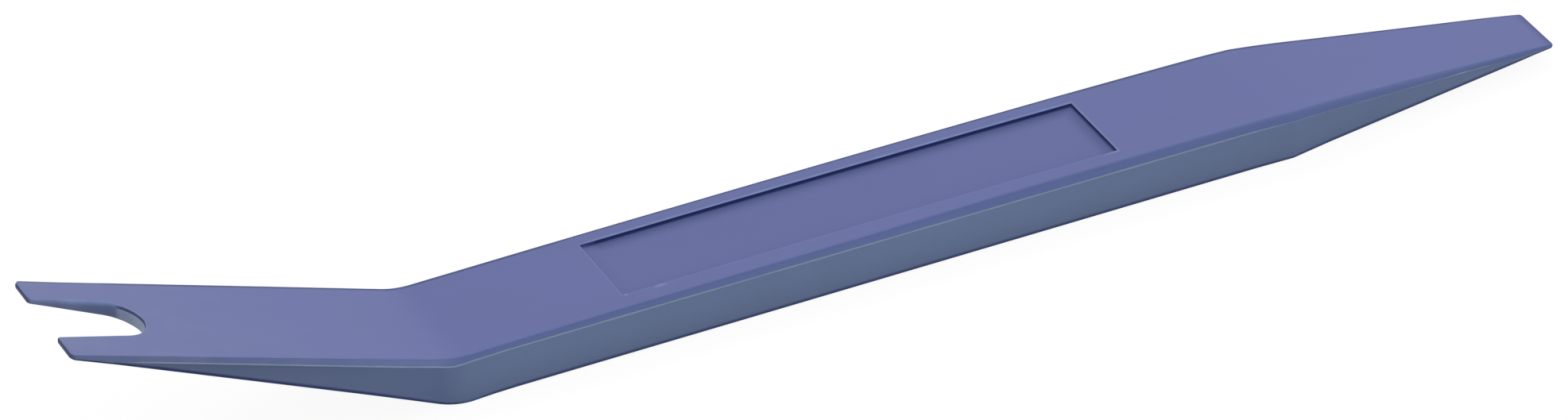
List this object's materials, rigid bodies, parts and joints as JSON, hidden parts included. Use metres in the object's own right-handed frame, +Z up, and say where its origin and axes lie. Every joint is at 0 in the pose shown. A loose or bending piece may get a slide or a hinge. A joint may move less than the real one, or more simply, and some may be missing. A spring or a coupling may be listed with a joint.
{
  "type": "trim removal tool",
  "caption": "Moulded plastic pry bar with a forked, upward cranked end for lifting trim clips, a flat handle with a sunk panel, and a thin tapered wedge at the other end.",
  "frame": {"origin": "under the middle of the tool's length and width, in the plane of the handle's flat underside", "axes": "+X runs along the tool from the fork to the wedge, +Y across its width, +Z up through the handle's top face"},
  "size_m": [0.2368, 0.02, 0.027],
  "materials": {
    "blue_plastic": "fine matt moulded surface, blue with a violet cast"
  },
  "bodies": {
    "root": {"trim_tool": "blue_plastic"}
  },
  "joints": []
}
